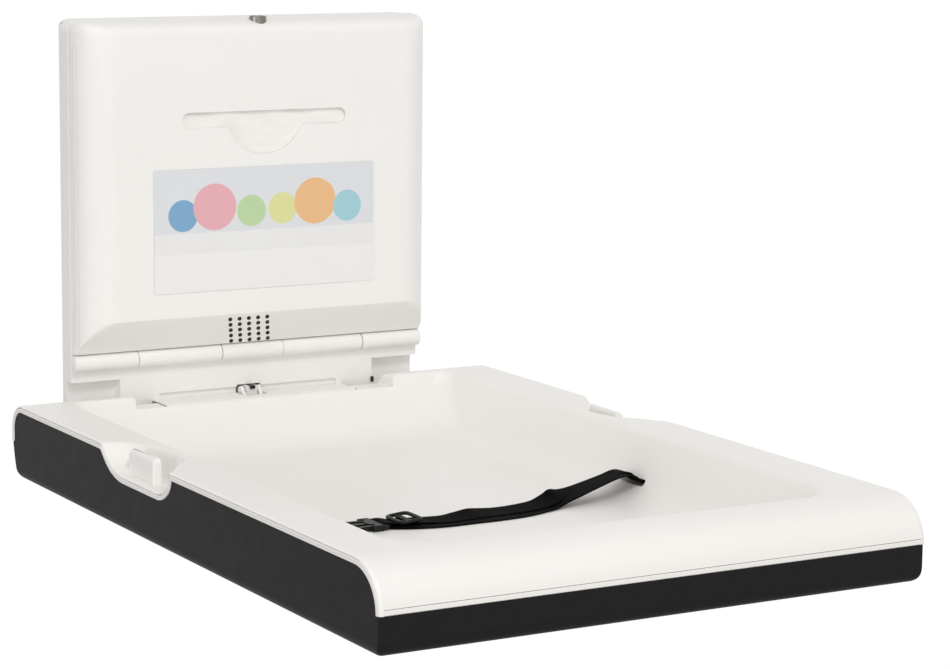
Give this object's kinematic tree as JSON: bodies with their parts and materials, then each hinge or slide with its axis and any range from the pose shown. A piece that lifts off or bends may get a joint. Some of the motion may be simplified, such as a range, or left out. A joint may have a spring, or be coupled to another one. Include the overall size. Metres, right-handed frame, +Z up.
{
  "type": "wall-mounted changing table",
  "caption": "Wall-mounted baby changing table whose basin tray folds up on its short edge, with a lockable liner dispenser, bag hooks and a restraint strap.",
  "frame": {"origin": "centre of the rectangle of four wall bolts, on the face of the wall", "axes": "+X to the right along the wall, -Y out of the wall into the room, +Z up; the tray's rim is 220 mm below the origin"},
  "size_m": [0.56, 0.86, 0.4922],
  "materials": {
    "white_plastic": "satin moulded polyethylene",
    "white_satin": "satin moulded polypropylene",
    "black_plastic": "fine-grained moulded polyethylene",
    "steel": "zinc plated",
    "bright_steel": "polished",
    "frame_steel": "powder coated",
    "rubber": "matte",
    "acetal": "natural",
    "paper": "matte paper",
    "label": "printed film",
    "webbing": "woven",
    "buckle": "satin"
  },
  "bodies": {
    "wall_unit": {"wall_frame": "white_plastic", "back_plate": "steel", "hinge_bracket": "steel", "hinge_bushes": "acetal", "hinge_housing": "white_satin", "stop_bumpers": "rubber", "cover_pin": "steel", "liner_bin": "white_satin", "paper_liners": "paper", "lock_strike": "steel", "damper_cylinder": "frame_steel", "damper_clamps": "steel", "frame_screws": "steel", "bracket_bolts": "steel"},
    "cover": {"dispenser_cover": "white_plastic", "info_label": "label", "lock_housing": "bright_steel", "lock_nut": "steel"},
    "lock": {"lock_plug": "bright_steel", "lock_cam": "steel"},
    "tray": {"tray_liner": "white_plastic", "tray_shell": "black_plastic", "hinge_frame": "frame_steel", "hinge_shaft": "steel", "shaft_clips": "steel", "damper_lever": "steel", "crank_pin": "steel", "bag_hook_left": "white_satin", "bag_hook_right": "white_satin", "strap_anchors": "steel", "strap_right": "webbing", "strap_left": "webbing", "strap_slide": "buckle", "buckle_plug": "buckle", "buckle_socket": "buckle", "shell_screws": "steel"},
    "damper": {"damper_rod": "bright_steel", "damper_yoke": "acetal"},
    "prong_rear": {"buckle_prong_rear": "buckle"},
    "prong_front": {"buckle_prong_front": "buckle"}
  },
  "joints": [
    {"name": "tray_fold", "type": "hinge", "parent": "wall_unit", "child": "tray", "pos_m": [0, -0.05, -0.249], "axis": [-1, 0, 0], "range_deg": [0, 90]},
    {"name": "cover_open", "type": "hinge", "parent": "wall_unit", "child": "cover", "pos_m": [0, -0.034, -0.1865], "axis": [-1, 0, 0], "range_deg": [-80, 0]},
    {"name": "lock_turn", "type": "hinge", "parent": "cover", "child": "lock", "pos_m": [0, -0.056, 0.174], "axis": [0, -0.284, 0.9588], "range_deg": [0, 90]},
    {"name": "damper_slide", "type": "slide", "parent": "wall_unit", "child": "damper", "axis": [0, 0, 1], "range_m": [-0.0355, 0]},
    {"name": "prong_rear_squeeze", "type": "hinge", "parent": "tray", "child": "prong_rear", "pos_m": [-0.102, -0.489, -0.2776], "axis": [0, 0, 1], "range_deg": [0, 8], "stiffness_Nm_per_rad": 0.5},
    {"name": "prong_front_squeeze", "type": "hinge", "parent": "tray", "child": "prong_front", "pos_m": [-0.102, -0.511, -0.2776], "axis": [0, 0, -1], "range_deg": [0, 8], "stiffness_Nm_per_rad": 0.5}
  ],
  "couplings": [
    {"joint": "damper_slide", "follows": "tray_fold", "m_per_rad": -0.0225}
  ]
}
